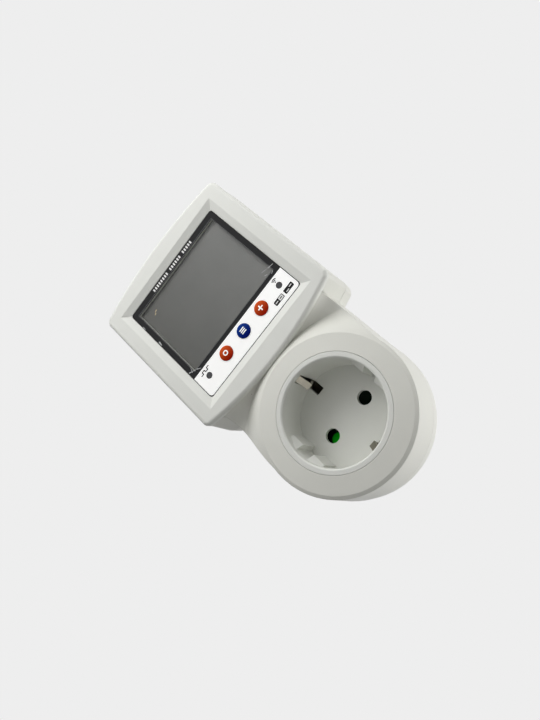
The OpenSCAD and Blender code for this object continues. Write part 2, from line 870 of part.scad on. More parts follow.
module socket_insert() {
    rim_ease = 0.5;
    color([0.8, 0.81, 0.78]) placed() difference() {
        union() {
            difference() {
                union() {
                    bar(0, 0, insert_r, 0, y_floor - 6);
                    bar(0, 0, insert_r - 0.3, 0, y_under);
                    both_x() block(ear_x / 2, 0, ear_x, 2 * ear_r, ear_y + slip, ear_y + ear_t);
                    both_x() bar(ear_x, 0, ear_r, ear_y + slip, ear_y + ear_t);
                }
                bar(0, 0, well_r, -more, y_floor);
                cone_bar(0, 0, well_r + rim_ease, well_r, 0, rim_ease);
            }
            both_x() guide_rib();
            bar(0, 0, skirt_in + skirt_t, y_under - 0.5, y_skirt);
        }
        bar(0, 0, skirt_in, y_under, y_skirt + more);
        for (x = [-pin_x, pin_x]) bar(x, 0, pin_hole_d / 2, y_floor - more, y_under + more);
        both_x() bar(ear_x, 0, insert_screw_d / 2 + fit_gap, ear_y - more, ear_y + ear_t + more);
        both_z() translate([-earth_slot_w / 2, slot_from, slot_low])
            cube([earth_slot_w, y_under - slot_from + more, insert_r]);
    }
}

// One blade of the shutter: its face is a ramp that the plug's pin slides down
module shutter_blade() {
    reach = shutter_r * tan(blade_half_angle);
    half = pin_x * tan(blade_half_angle);
    difference() {
        plan(shutter_front, shutter_back) intersection() {
            circle(shutter_r);
            polygon([[0, 0], [shutter_r, -reach], [shutter_r, reach]]);
        }
        translate([-more, shutter_front, half]) rotate([atan2(ramp_rise, 2 * half), 0, 0])
            translate([0, -3 * ramp_rise, -8 * half]) cube([shutter_r + 2 * more, 3 * ramp_rise, 16 * half]);
    }
}

module safety_shutter() {
    color([0.05, 0.45, 0.12]) placed() difference() {
        union() {
            shutter_blade();
            rotate([0, 180, 0]) shutter_blade();
            bar(0, 0, hub_r, shutter_front, y_skirt - 0.4);
        }
        bar(0, 0, post_r + post_gap, shutter_front - more, y_skirt + more);
    }
}

// Flat spiral that turns the shutter back, drawn as half rings of growing radius
module shutter_spring() {
    strip = 0.4;
    step = 0.4;
    half_turns = 6;
    color([0.75, 0.76, 0.78]) placed() plan(shutter_back + 0.15, y_skirt - 0.5)
        for (k = [0 : half_turns - 1]) {
            side = k % 2 == 0 ? 1 : -1;
            r = hub_r + 0.3 + step * (k + 0.5);
            translate([side * step / 2, 0]) intersection() {
                difference() {
                    circle(r + strip / 2);
                    circle(r - strip / 2);
                }
                translate([-2 * r, side > 0 ? 0 : -2 * r]) square([4 * r, 2 * r]);
            }
        }
}

module contact_carrier() {
    notch_w = 20.4;
    notch_z = 9;
    color([0.2, 0.2, 0.22]) placed() difference() {
        union() {
            bar(0, 0, skirt_in + skirt_t, y_carrier, y_tube);
            bar(0, 0, post_r, shutter_front + 0.2, y_carrier + slip);
            for (x = [-pin_x, pin_x]) bar(x, 0, sleeve_out, y_tube - slip, y_tulip_end + 0.6);
        }
        for (x = [-pin_x, pin_x]) {
            bar(x, 0, sleeve_in, y_tube, y_tulip_end + more);
            bar(x, 0, carrier_hole_r, y_carrier - more, y_tube + more);
            block(x, sleeve_out / 2, tail_w + 0.6, sleeve_out, y_tulip_end - tail_t - 1, y_tulip_end + more);
        }
        translate([-notch_w / 2, y_carrier - more, notch_z]) cube([notch_w, carrier_t + 2 * more, boss_r]);
    }
}

// Spring sleeve that grips the plug's pin, with a tail for its wire
module tulip(tail_end) {
    slit = 0.8;
    difference() {
        union() {
            bar(0, 0, tulip_out, y_tulip, y_tulip_end);
            translate([-tail_w / 2, y_tulip_end - tail_t, 0]) cube([tail_w, tail_t, tail_end]);
        }
        bar(0, 0, tulip_in, y_tulip - more, y_tulip_end + more);
        block(0, 0, slit, 2 * tulip_out + more, y_tulip - more, y_tulip_end - 2.5);
        block(0, 0, 2 * tulip_out + more, slit, y_tulip - more, y_tulip_end - 2.5);
    }
}

module live_contact() {
    color([0.8, 0.65, 0.35]) placed() translate([pin_x, 0, 0]) tulip(tail_z);
}

module neutral_contact() {
    color([0.8, 0.65, 0.35]) placed() translate([-pin_x, 0, 0]) tulip(tail_z);
}

// Bent strip in Y and Z: the path's points moved half a thickness to one side, mitred at the bends
function unit(v) = v / norm(v);
function strip_side(p, h) = [
    for (k = [0 : len(p) - 1])
    let (
        a = unit(p[max(k, 1)] - p[max(k, 1) - 1]),
        b = unit(p[min(k, len(p) - 2) + 1] - p[min(k, len(p) - 2)]),
        n = unit([-a[1] - b[1], a[0] + b[0]])
    )
    p[k] + n * h / (n * [-a[1], a[0]])
];

module earth_strap() {
    jog_from = y_under + 1.5;
    jog_to = y_inner - 2;
    path = [
        [slot_from + 0.7, strap_out], [slot_from + 5.4, strap_bulge], [y_floor - 0.5, strap_out],
        [jog_from, strap_out], [jog_to, strap_run], [strap_end, strap_run]
    ];
    back = strip_side(path, -strap_t / 2);
    difference() {
        translate([-strap_w / 2, 0, 0]) rotate([90, 0, 90]) linear_extrude(strap_w)
            polygon(concat(strip_side(path, strap_t / 2), [for (k = [len(back) - 1 : -1 : 0]) back[k]]));
        both_x() translate([clip_w / 2, 0, 0]) cube([strap_w, y_under + 0.8, 2 * well_r]);
    }
}

module earth_straps() {
    color([0.78, 0.76, 0.7]) placed() both_z() earth_strap();
}

module plug_pins() {
    tip = 1;
    color([0.82, 0.82, 0.84]) placed() for (x = [-pin_x, pin_x]) {
        bar(x, 0, pin_r, y_end, y_end + plug_pin_l - tip);
        cone_bar(x, 0, pin_r, pin_r - tip, y_end + plug_pin_l - tip, y_end + plug_pin_l);
        bar(x, 0, pin_neck_r, y_boss_inner - more, y_end + more);
        bar(x, 0, pin_flange_r, y_boss_inner - slip - pin_flange_t, y_boss_inner - slip);
        bar(x, 0, pin_neck_r - 0.4, y_boss_inner - pin_flange_t - pin_tail_l, y_boss_inner - more);
    }
}

// Round wire through a list of points: rods of two close widths in turn, with ball joints
module wire(p) {
    for (k = [0 : len(p) - 2]) {
        d = p[k + 1] - p[k];
        translate(p[k])
            rotate([0, acos(d[2] / norm(d)), atan2(d[1], d[0])])
            cylinder(r = k % 2 == 0 ? wire_r : wire_r - 0.06, h = norm(d), $fn = 24);
    }
    for (k = [1 : len(p) - 2]) translate(p[k]) sphere(wire_r + 0.06, $fn = 24);
}

// Path from inside the boss up the neck and forward onto its board terminal
function neck_path(lane, low, terminal) = [
    [lane, wire_y, low], [lane, wire_y, wire_turn_z], [terminal, wire_end_y, wire_turn_z + 4],
    [terminal, wire_end_y, terminal_z]
];

module power_wires() {
    pin_tail_y = y_boss_inner - pin_flange_t - pin_tail_l / 2 - 0.15;
    pin_tail_z = pin_neck_r - 0.2 + wire_r;
    low = 10.4;
    in_lane = 4.4;
    out_lane = 7.8;
    tail_y = y_tulip_end - tail_t / 2;
    tail_top = tail_z + wire_r;
    color([0.35, 0.2, 0.12]) placed() {
        wire(concat(
            [[pin_x, pin_tail_y, pin_tail_z], [in_lane, pin_tail_y - 1, low]],
            neck_path(in_lane, low, terminal_x[1])));
        wire(concat(
            [[pin_x, tail_y, tail_top], [out_lane, tail_y - 4, low]],
            neck_path(out_lane, low, terminal_x[0])));
        wire(concat(
            [[-pin_x, tail_y, tail_top], [-out_lane, tail_y - 4, low]],
            neck_path(-out_lane, low, terminal_x[2])));
        wire([[-pin_x, pin_tail_y, pin_tail_z], [-pin_x, y_tulip_end + 0.7, pin_tail_z + 2.2]]);
    }
}

// Screws: pan head with a cross recess, driven from the rear

module screw(d, head_d, head_t, l) {
    slot_w = head_d / 6;
    difference() {
        union() {
            bar(0, 0, d / 2, -l, 0.1);
            bar(0, 0, head_d / 2, 0, head_t);
        }
        block(0, 0, head_d * 0.6, slot_w, head_t / 2, head_t + more);
        block(0, 0, slot_w, head_d * 0.6, head_t / 2, head_t + more);
    }
}

module body_screws() {
    color([0.7, 0.71, 0.73]) placed() for (p = body_screws_at)
        translate([p[0], screw_head_y + slip, p[1]]) screw(body_screw_d, 5.6, 2.2, 13);
}

module insert_screws() {
    color([0.7, 0.71, 0.73]) placed() both_x()
        translate([ear_x, ear_y + ear_t + slip, 0]) screw(insert_screw_d, 4.8, 1.8, 8);
}

module board_screws() {
    color([0.7, 0.71, 0.73]) placed() {
        display_post_places() translate([0, y_display_back + slip, 0]) screw(board_screw_d, 3.6, 1.4, 5);
        main_post_places() translate([0, y_main - slip, 0]) mirror([0, 1, 0]) screw(board_screw_d, 3.6, 1.4, 4);
    }
}

front_shell();
rear_shell();
head_bezel();
display_overlay();
display_window();
lcd_panel();
light_guide();
display_board();
plus_button();
mode_button();
set_button();
plus_plunger();
mode_plunger();
set_plunger();
tact_switches();
light_pipes();
status_leds();
wifi_module();
ribbon_cable();
main_board();
power_relay();
supply_capacitor();
smoothing_capacitor();
varistor();
metering_chip();
current_shunt();
wire_terminals();
socket_insert();
safety_shutter();
shutter_spring();
contact_carrier();
live_contact();
neutral_contact();
earth_straps();
plug_pins();
power_wires();
body_screws();
insert_screws();
board_screws();
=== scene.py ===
"""Looks of a plug-in energy monitor: finishes, prints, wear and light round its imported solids."""

import math

import bmesh
import bpy
from mathutils import Matrix, Vector


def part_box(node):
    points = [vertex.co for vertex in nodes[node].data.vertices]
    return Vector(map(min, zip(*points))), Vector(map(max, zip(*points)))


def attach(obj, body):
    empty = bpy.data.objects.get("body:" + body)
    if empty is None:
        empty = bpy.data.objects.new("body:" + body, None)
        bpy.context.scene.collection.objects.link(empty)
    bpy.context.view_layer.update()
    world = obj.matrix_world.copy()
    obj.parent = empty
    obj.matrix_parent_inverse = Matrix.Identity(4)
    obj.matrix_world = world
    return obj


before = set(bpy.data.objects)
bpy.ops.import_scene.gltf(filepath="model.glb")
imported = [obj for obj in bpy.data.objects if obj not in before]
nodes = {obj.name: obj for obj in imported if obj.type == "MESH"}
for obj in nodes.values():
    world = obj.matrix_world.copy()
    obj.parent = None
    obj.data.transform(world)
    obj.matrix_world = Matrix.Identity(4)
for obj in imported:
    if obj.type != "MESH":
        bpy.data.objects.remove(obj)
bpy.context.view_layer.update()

MM = 0.001

# Places taken from the solids
overlay_low, overlay_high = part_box("display_overlay")
FACE_Y = overlay_low.y
MID_Z = (overlay_low.z + overlay_high.z) / 2
OVERLAY_W = (overlay_high.x - overlay_low.x) / MM
OVERLAY_H = (overlay_high.z - overlay_low.z) / MM
pipe_low, pipe_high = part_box("light_pipes")
LAMP_V = ((pipe_low.z + pipe_high.z) / 2 - MID_Z) / MM
LAMP_R = 1.4
LAMP_FLANGE_R = 2.2
LAMP_U = pipe_high.x / MM - LAMP_FLANGE_R
KEYS = {"plus_key": "plus_button", "mode_key": "mode_button", "set_key": "set_button"}
KEY_HOLE_R = 3.1
KEY_R = 3.0
KEY_DOME = 0.5

# Prints on the overlay, in millimetres from its centre
STRIP_TOP = -15.85
PRINT_INSET = 0.24
STRIP_CORNER = 1.5
PRINT_T = 0.02
SYMBOL_T = 0.02
SYMBOL_CUTS = 3


def linear(value):
    """One channel of a screen colour, 0 to 255, as light."""
    c = value / 255
    return c / 12.92 if c <= 0.04045 else ((c + 0.055) / 1.055) ** 2.4


def colour(red, green, blue):
    """Screen colour, 0 to 255, as a shader's colour."""
    return (linear(red), linear(green), linear(blue), 1.0)


def scaled(rgba, factor):
    """Colour made brighter or darker by a factor."""
    return tuple(min(1.0, c * factor) for c in rgba[:3]) + (1.0,)


# Finishes: textures count their scale in cells per metre
SPECK_SCALE = 95.0
SPECK_R = 0.014
SPECK_CHOICE = 0.45
SPECK_COLOUR = colour(120, 108, 88)
PATCH_SCALE = 110.0
PATCH_DETAIL = 5.0
PATCH_SPAN = (0.3, 0.7)
GLOSS_SPREAD = 0.12
GRAIN_SCALE = 2600.0
GRAIN_DETAIL = 2.0
GRAIN_STRENGTH = 0.35
EDGE_SAMPLES = 8
SMEAR_SCALE = 90.0
SMEAR_TINTS = ((0.92, 0.925, 0.92, 1), (0.96, 0.96, 0.955, 1))


def add_specks(tree, place, clean):
    """Sparse brown dust specks over a clean colour: one speck in some cells of a loose pattern."""
    cells = tree.nodes.new("ShaderNodeTexVoronoi")
    cells.inputs["Scale"].default_value = SPECK_SCALE
    near = tree.nodes.new("ShaderNodeMath")
    near.operation = "LESS_THAN"
    near.inputs[1].default_value = SPECK_R
    chosen = tree.nodes.new("ShaderNodeMath")
    chosen.operation = "GREATER_THAN"
    chosen.inputs[1].default_value = SPECK_CHOICE
    speck = tree.nodes.new("ShaderNodeMath")
    speck.operation = "MULTIPLY"
    mix = tree.nodes.new("ShaderNodeMixRGB")
    mix.inputs[2].default_value = SPECK_COLOUR
    tree.links.new(place.outputs["Object"], cells.inputs["Vector"])
    tree.links.new(cells.outputs["Distance"], near.inputs[0])
    tree.links.new(cells.outputs["Color"], chosen.inputs[0])
    tree.links.new(near.outputs["Value"], speck.inputs[0])
    tree.links.new(chosen.outputs["Value"], speck.inputs[1])
    tree.links.new(speck.outputs["Value"], mix.inputs[0])
    tree.links.new(clean, mix.inputs[1])
    return mix.outputs[0]


def finish(name, rgba, rough, mottle=0.04, grain=0.0, edge=0.0, specks=False, **sockets):
    """Shader with a faintly mottled colour and gloss, a fine moulded grain and softened edges.

    mottle is the share by which the colour varies, grain the height of the texture in millimetres,
    edge the width of the rounding that light sees at edges, in millimetres."""
    material = bpy.data.materials.new(name)
    material.use_nodes = True
    tree = material.node_tree
    shader = tree.nodes["Principled BSDF"]
    place = tree.nodes.new("ShaderNodeTexCoord")
    patches = tree.nodes.new("ShaderNodeTexNoise")
    patches.inputs["Scale"].default_value = PATCH_SCALE
    patches.inputs["Detail"].default_value = PATCH_DETAIL
    tree.links.new(place.outputs["Object"], patches.inputs["Vector"])

    tones = tree.nodes.new("ShaderNodeValToRGB")
    tones.color_ramp.elements[0].position = PATCH_SPAN[0]
    tones.color_ramp.elements[1].position = PATCH_SPAN[1]
    tones.color_ramp.elements[0].color = scaled(rgba, 1 - mottle)
    tones.color_ramp.elements[1].color = scaled(rgba, 1 + mottle)
    tree.links.new(patches.outputs["Fac"], tones.inputs["Fac"])
    clean = tones.outputs["Color"]
    tree.links.new(add_specks(tree, place, clean) if specks else clean, shader.inputs["Base Color"])

    gloss = tree.nodes.new("ShaderNodeMapRange")
    gloss.inputs["From Min"].default_value = PATCH_SPAN[0]
    gloss.inputs["From Max"].default_value = PATCH_SPAN[1]
    gloss.inputs["To Min"].default_value = rough * (1 - GLOSS_SPREAD)
    gloss.inputs["To Max"].default_value = min(1.0, rough * (1 + GLOSS_SPREAD))
    tree.links.new(patches.outputs["Fac"], gloss.inputs["Value"])
    tree.links.new(gloss.outputs["Result"], shader.inputs["Roughness"])

    normal = shader.inputs["Normal"]
    if grain:
        texture = tree.nodes.new("ShaderNodeTexNoise")
        texture.inputs["Scale"].default_value = GRAIN_SCALE
        texture.inputs["Detail"].default_value = GRAIN_DETAIL
        bump = tree.nodes.new("ShaderNodeBump")
        bump.inputs["Strength"].default_value = GRAIN_STRENGTH
        bump.inputs["Distance"].default_value = grain * MM
        tree.links.new(place.outputs["Object"], texture.inputs["Vector"])
        tree.links.new(texture.outputs["Fac"], bump.inputs["Height"])
        tree.links.new(bump.outputs["Normal"], normal)
        normal = bump.inputs["Normal"]
    if edge:
        rounding = tree.nodes.new("ShaderNodeBevel")
        rounding.samples = EDGE_SAMPLES
        rounding.inputs["Radius"].default_value = edge * MM
        tree.links.new(rounding.outputs["Normal"], normal)
    for socket, value in sockets.items():
        shader.inputs[socket.replace("_", " ")].default_value = value
    return material


def clear_finish(name):
    """Clear window with a faint uneven tint."""
    material = bpy.data.materials.new(name)
    material.use_nodes = True
    tree = material.node_tree
    tree.nodes.remove(tree.nodes["Principled BSDF"])
    place = tree.nodes.new("ShaderNodeTexCoord")
    smears = tree.nodes.new("ShaderNodeTexNoise")
    smears.inputs["Scale"].default_value = SMEAR_SCALE
    tint = tree.nodes.new("ShaderNodeValToRGB")
    tint.color_ramp.elements[0].color = SMEAR_TINTS[0]
    tint.color_ramp.elements[1].color = SMEAR_TINTS[1]
    through = tree.nodes.new("ShaderNodeBsdfTransparent")
    tree.links.new(place.outputs["Object"], smears.inputs["Vector"])
    tree.links.new(smears.outputs["Fac"], tint.inputs["Fac"])
    tree.links.new(tint.outputs["Color"], through.inputs["Color"])
    tree.links.new(through.outputs["BSDF"], tree.nodes["Material Output"].inputs["Surface"])
    return material


def shutter_painted_light_finish(name, dark, painted_light, middle, radius, soft):
    """Shutter with a painted pool of light, a bright round patch on the blade where light falls through the
    pin hole, and painted shade, near black, over the rest.
    """
    material = finish(name, dark, 0.5, Specular_IOR_Level=0.05)
    tree = material.node_tree
    place = tree.nodes.new("ShaderNodeTexCoord")
    flat = tree.nodes.new("ShaderNodeVectorMath")
    flat.operation = "MULTIPLY"
    flat.inputs[1].default_value = (1, 0, 1)
    away = tree.nodes.new("ShaderNodeVectorMath")
    away.operation = "DISTANCE"
    away.inputs[1].default_value = (middle[0] * MM, 0, middle[1] * MM)
    share = tree.nodes.new("ShaderNodeMapRange")
    share.inputs["From Min"].default_value = (radius - soft) * MM
    share.inputs["From Max"].default_value = (radius + soft) * MM
    tones = tree.nodes.new("ShaderNodeValToRGB")
    tones.color_ramp.elements[0].color = painted_light
    tones.color_ramp.elements[1].color = dark
    tree.links.new(place.outputs["Object"], flat.inputs[0])
    tree.links.new(flat.outputs["Vector"], away.inputs[0])
    tree.links.new(away.outputs["Value"], share.inputs["Value"])
    tree.links.new(share.outputs["Result"], tones.inputs["Fac"])
    tree.links.new(tones.outputs["Color"], tree.nodes["Principled BSDF"].inputs["Base Color"])
    return material


def painted_shade_finish(name, axis, span, first, last, rough, **options):
    """Finish with painted light and shade, whose colour goes from one tone to another along an axis, over a
    span in millimetres.
    """
    material = finish(name, first, rough, **options)
    tree = material.node_tree
    place = tree.nodes.new("ShaderNodeTexCoord")
    parts = tree.nodes.new("ShaderNodeSeparateXYZ")
    share = tree.nodes.new("ShaderNodeMapRange")
    share.inputs["From Min"].default_value = span[0] * MM
    share.inputs["From Max"].default_value = span[1] * MM
    tones = tree.nodes.new("ShaderNodeValToRGB")
    tones.color_ramp.elements[0].color = first
    tones.color_ramp.elements[1].color = last
    tree.links.new(place.outputs["Object"], parts.inputs["Vector"])
    tree.links.new(parts.outputs[axis], share.inputs["Value"])
    tree.links.new(share.outputs["Result"], tones.inputs["Fac"])
    tree.links.new(tones.outputs["Color"], tree.nodes["Principled BSDF"].inputs["Base Color"])
    return material


# Places of the painted light and shade, in millimetres: the display lighter at its right, the keys lighter at
# their tops and a pool of light on the shutter
DISPLAY_SHADE_SPAN = (-25, 25)
SHUTTER_LIGHT_POOL = (-9.75, -1.0)
SHUTTER_LIGHT_POOL_R = 2.3
SHUTTER_LIGHT_POOL_SOFT = 0.3
KEY_MIDDLE = MID_Z / MM + LAMP_V
KEY_SHADE_SPAN = (KEY_MIDDLE - KEY_R, KEY_MIDDLE + KEY_R)
KEY_LOOK = dict(edge=0.15, Specular_IOR_Level=0.05)
MOULDED = dict(mottle=0.012, grain=0.006, edge=0.35, specks=True)
FINISHES = {
    ("front_shell", "rear_shell"): finish("shell_plastic", colour(228, 228, 220), 0.42, **MOULDED),
    ("head_bezel", "socket_insert"): finish("bezel_plastic", colour(229, 230, 224), 0.42, **MOULDED),
    ("display_overlay",): finish("overlay", colour(36, 36, 37), 0.35, edge=0.05, Specular_IOR_Level=0.15),
    ("display_window",): clear_finish("window"),
    # The blank display is painted lighter towards its right: painted light
    ("lcd_panel",):
        painted_shade_finish("display_glass", "X", DISPLAY_SHADE_SPAN, colour(119, 119, 117), colour(147, 147, 146), 0.5,
                     Specular_IOR_Level=0.1),
    ("light_guide", "status_leds"): finish("diffuser", colour(232, 233, 228), 0.5),
    ("display_board", "main_board"): finish("board", colour(24, 84, 44), 0.45, mottle=0.1),
    # Painted shade and light on the keys: darker at the bottom, lighter at the top
    ("plus_button", "set_button"):
        painted_shade_finish("red_keys", "Z", KEY_SHADE_SPAN, colour(160, 18, 0), colour(206, 84, 28), 0.45, **KEY_LOOK),
    ("mode_button",):
        painted_shade_finish("blue_key", "Z", KEY_SHADE_SPAN, colour(0, 12, 104), colour(4, 54, 134), 0.45, **KEY_LOOK),
    ("plus_plunger", "mode_plunger", "set_plunger", "tact_switches", "contact_carrier"):
        finish("black_plastic", colour(36, 36, 38), 0.5),
    ("light_pipes",): finish("smoked_pipe", colour(78, 78, 80), 0.3, Specular_IOR_Level=0.2),
    ("wifi_module",): finish("shield", colour(176, 178, 180), 0.35, Metallic=1.0),
    ("ribbon_cable",): finish("ribbon", colour(186, 186, 190), 0.5),
    ("power_relay", "metering_chip"): finish("relay_case", colour(30, 32, 36), 0.45),
    ("supply_capacitor",): finish("capacitor_case", colour(206, 168, 40), 0.45),
    ("smoothing_capacitor",): finish("capacitor_sleeve", colour(36, 44, 84), 0.35),
    ("varistor",): finish("varistor_coat", colour(30, 74, 150), 0.4),
    ("current_shunt",): finish("shunt_metal", colour(196, 128, 82), 0.35, Metallic=1.0),
    ("wire_terminals", "live_contact", "neutral_contact"):
        finish("brass", colour(212, 182, 112), 0.3, Metallic=1.0),
    # Painted light and shade on the shutter: a green pool of light where light falls through the left pin
    # hole, near black elsewhere
    ("safety_shutter",):
        shutter_painted_light_finish("shutter", colour(2, 16, 4), colour(6, 196, 26), SHUTTER_LIGHT_POOL, SHUTTER_LIGHT_POOL_R,
                       SHUTTER_LIGHT_POOL_SOFT),
    ("shutter_spring", "body_screws", "insert_screws", "board_screws"):
        finish("screw_steel", colour(186, 188, 192), 0.35, Metallic=1.0),
    ("earth_straps",): finish("earth_metal", colour(172, 167, 154), 0.45, mottle=0.2, Metallic=1.0, edge=0.1),
    ("plug_pins",): finish("pin_metal", colour(214, 214, 216), 0.25, Metallic=1.0, edge=0.1),
    ("power_wires",): finish("wire_cover", colour(92, 54, 34), 0.5),
}
for names, material in FINISHES.items():
    for name in names:
        nodes[name].data.materials.clear()
        nodes[name].data.materials.append(material)

# The white ink glows a little, which is painted light
INK_PAINTED_GLOW = 0.17
white_ink_glowing = finish("white_ink_glowing", colour(254, 254, 252), 0.35, mottle=0.004,
                   Emission_Color=(1, 1, 0.99, 1), Emission_Strength=INK_PAINTED_GLOW)
dark_ink = finish("dark_ink", colour(28, 28, 30), 0.4, Specular_IOR_Level=0.15)
pale_ink = finish("pale_ink", colour(236, 236, 234), 0.4, Specular_IOR_Level=0.2)
# Tone of the painted highlight along the window's edge
painted_edge_highlight = finish("painted_edge_highlight", colour(116, 118, 118), 0.4, Specular_IOR_Level=0.2)
film = finish("torn_film", colour(214, 216, 216), 0.4, mottle=0.15, Specular_IOR_Level=0.3, Alpha=0.65)
glue = finish("old_glue", colour(196, 180, 142), 0.5, mottle=0.12)


# Outlines, in millimetres


def arc(u, v, r, start, stop, steps=16):
    """Points of a circle's arc from one angle to another, in degrees."""
    turns = [math.radians(start + (stop - start) * k / steps) for k in range(steps + 1)]
    return [(u + r * math.cos(a), v + r * math.sin(a)) for a in turns]


def circle(u, v, r, steps=40):
    return arc(u, v, r, 0, 360, steps)[:-1]


def rect(u0, v0, u1, v1):
    return [(u0, v0), (u1, v0), (u1, v1), (u0, v1)]


def round_rect(u0, v0, u1, v1, r):
    return (arc(u0 + r, v0 + r, r, 180, 270, 6) + arc(u1 - r, v0 + r, r, 270, 360, 6)
            + arc(u1 - r, v1 - r, r, 0, 90, 6) + arc(u0 + r, v1 - r, r, 90, 180, 6))


def band(u, v, r, width, start, stop):
    """Ring sector of one line's width."""
    outer = arc(u, v, r + width / 2, start, stop)
    inner = arc(u, v, r - width / 2, stop, start)
    return outer + inner


# Pieces


def filled(islands, depth, thick, cuts=0):
    """Mesh of thin solids: each island is an outer outline and its holes, depth gives the back's place.

    cuts divides each edge, so that a mark follows a curved ground."""
    bm = bmesh.new()
    for loops in islands:
        edges = []
        for loop in loops:
            verts = [bm.verts.new((u, 0, v)) for u, v in loop]
            edges += [bm.edges.new(pair) for pair in zip(verts, verts[1:] + verts[:1])]
        bmesh.ops.triangle_fill(bm, use_beauty=True, edges=edges, normal=(0, -1, 0))
    if cuts:
        bmesh.ops.subdivide_edges(bm, edges=bm.edges[:], cuts=cuts, use_grid_fill=True)
    fronts = bm.faces[:]
    raised = bmesh.ops.extrude_face_region(bm, geom=fronts)["geom"]
    top = {g for g in raised if isinstance(g, bmesh.types.BMVert)}
    for vert in bm.verts:
        u, v = vert.co.x, vert.co.z
        y = depth(u, v) - (thick if vert in top else 0)
        vert.co = Vector((u, y, v)) * MM
    bmesh.ops.recalc_face_normals(bm, faces=bm.faces)
    mesh = bpy.data.meshes.new("flat")
    bm.to_mesh(mesh)
    bm.free()
    return mesh


def add_piece(name, mesh, material, body, at):
    """Put a piece at a place, on the body that it moves with."""
    mesh.name = name
    mesh.transform(Matrix.Translation(at))
    mesh.materials.append(material)
    piece = bpy.data.objects.new(name, mesh)
    bpy.context.scene.collection.objects.link(piece)
    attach(piece, body)


def printed(name, islands, material, layer=0):
    """Ink on the overlay's face, each layer on top of the one before."""
    mesh = filled(islands, lambda u, v: -layer * PRINT_T, PRINT_T)
    add_piece(name, mesh, material, "case", (0, FACE_Y, MID_Z))


def key_symbol(body, islands):
    """White mark that lies on a key's dome."""
    low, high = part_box(KEYS[body])
    middle = ((low.x + high.x) / 2, low.y, (low.z + high.z) / 2)
    ball = (KEY_R ** 2 + KEY_DOME ** 2) / (2 * KEY_DOME)
    mesh = filled(islands, lambda u, v: ball - math.sqrt(ball ** 2 - u * u - v * v), SYMBOL_T, SYMBOL_CUTS)
    add_piece("symbol_" + body, mesh, white_ink_glowing, body, middle)


# White strip with round lower corners and holes for the keys and lamps
strip_u = OVERLAY_W / 2 - PRINT_INSET
strip_v = -OVERLAY_H / 2 + PRINT_INSET
strip_outline = (
    [(strip_u, STRIP_TOP), (-strip_u, STRIP_TOP)]
    + arc(-strip_u + STRIP_CORNER, strip_v + STRIP_CORNER, STRIP_CORNER, 180, 270, 8)
    + arc(strip_u - STRIP_CORNER, strip_v + STRIP_CORNER, STRIP_CORNER, 270, 360, 8)
)
strip_holes = []
for button in KEYS.values():
    low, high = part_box(button)
    strip_holes.append(circle((low.x + high.x) / 2 / MM, LAMP_V, KEY_HOLE_R))
for side in (-1, 1):
    strip_holes.append(circle(side * LAMP_U, LAMP_V, LAMP_R))
printed("white_strip", [[strip_outline] + strip_holes], white_ink_glowing)

# Marks on the keys: a plus sign, three bars and a ring
PLUS_ARM = 1.25
MARK_W = 0.55
LINE_HALF = 1.2
LINE_W = 0.44
LINES_V = (-0.85, 0, 0.85)
RING_OUT = 1.15
RING_IN = 0.65
plus = [
    (-PLUS_ARM, -MARK_W / 2), (-MARK_W / 2, -MARK_W / 2), (-MARK_W / 2, -PLUS_ARM), (MARK_W / 2, -PLUS_ARM),
    (MARK_W / 2, -MARK_W / 2), (PLUS_ARM, -MARK_W / 2), (PLUS_ARM, MARK_W / 2), (MARK_W / 2, MARK_W / 2),
    (MARK_W / 2, PLUS_ARM), (-MARK_W / 2, PLUS_ARM), (-MARK_W / 2, MARK_W / 2), (-PLUS_ARM, MARK_W / 2),
]
key_symbol("plus_key", [[plus]])
key_symbol("mode_key", [[rect(-LINE_HALF, v - LINE_W / 2, LINE_HALF, v + LINE_W / 2)] for v in LINES_V])
key_symbol("set_key", [[circle(0, 0, RING_OUT), circle(0, 0, RING_IN, 30)]])

# Legends by the lamps: a square wave and two arcs over a dot
WAVE_STEP = 1.35
WAVE_H = 1.3
LEGEND_W = 0.4
LEGEND_RISE = 2.1
LEGEND_V = LAMP_V + LEGEND_RISE
WAVE_STEPS = 4
ARC_RADII = (0.75, 1.4)
ARC_ENDS = (40, 140)
DOT_R = 0.3
wave = []
for k in range(WAVE_STEPS):
    u = -LAMP_U + (k - WAVE_STEPS / 2) * WAVE_STEP
    end = u + WAVE_STEP
    v = LEGEND_V + (WAVE_H - LEGEND_W if k % 2 else 0)
    wave.append([rect(u, v, end, v + LEGEND_W)])
    wave.append([rect(end - LEGEND_W / 2, LEGEND_V, end + LEGEND_W / 2, LEGEND_V + WAVE_H)])
printed("wave_legend", wave[:-1], dark_ink, 1)
arcs = [[band(LAMP_U, LEGEND_V, r, LEGEND_W, *ARC_ENDS)] for r in ARC_RADII]
printed("arc_legend", arcs + [[circle(LAMP_U, LEGEND_V, DOT_R, 16)]], dark_ink, 1)

# Two dark boxes with pale bars in the strip's right corner
BADGE_BOXES = ((15.6, -25.2, 20.6, -23.1, 0.45), (21.5, -25.2, 26.3, -23.1, 0.3))
BADGE_PLATE = (18.1, -24.9, 20.3, -23.4, 0.3)
BADGE_BARS = ((16.1, -24.35, 17.5, -23.95), (22.2, -24.75, 23.8, -24.35), (24.3, -24.2, 25.7, -23.8))
BADGE_MARK = (18.6, -24.35, 19.8, -23.95)
printed("badge_boxes", [[round_rect(*box)] for box in BADGE_BOXES], dark_ink, 1)
printed("badge_bars", [[round_rect(*BADGE_PLATE)]] + [[rect(*bar)] for bar in BADGE_BARS], pale_ink, 2)
printed("badge_mark", [[rect(*BADGE_MARK)]], dark_ink, 3)

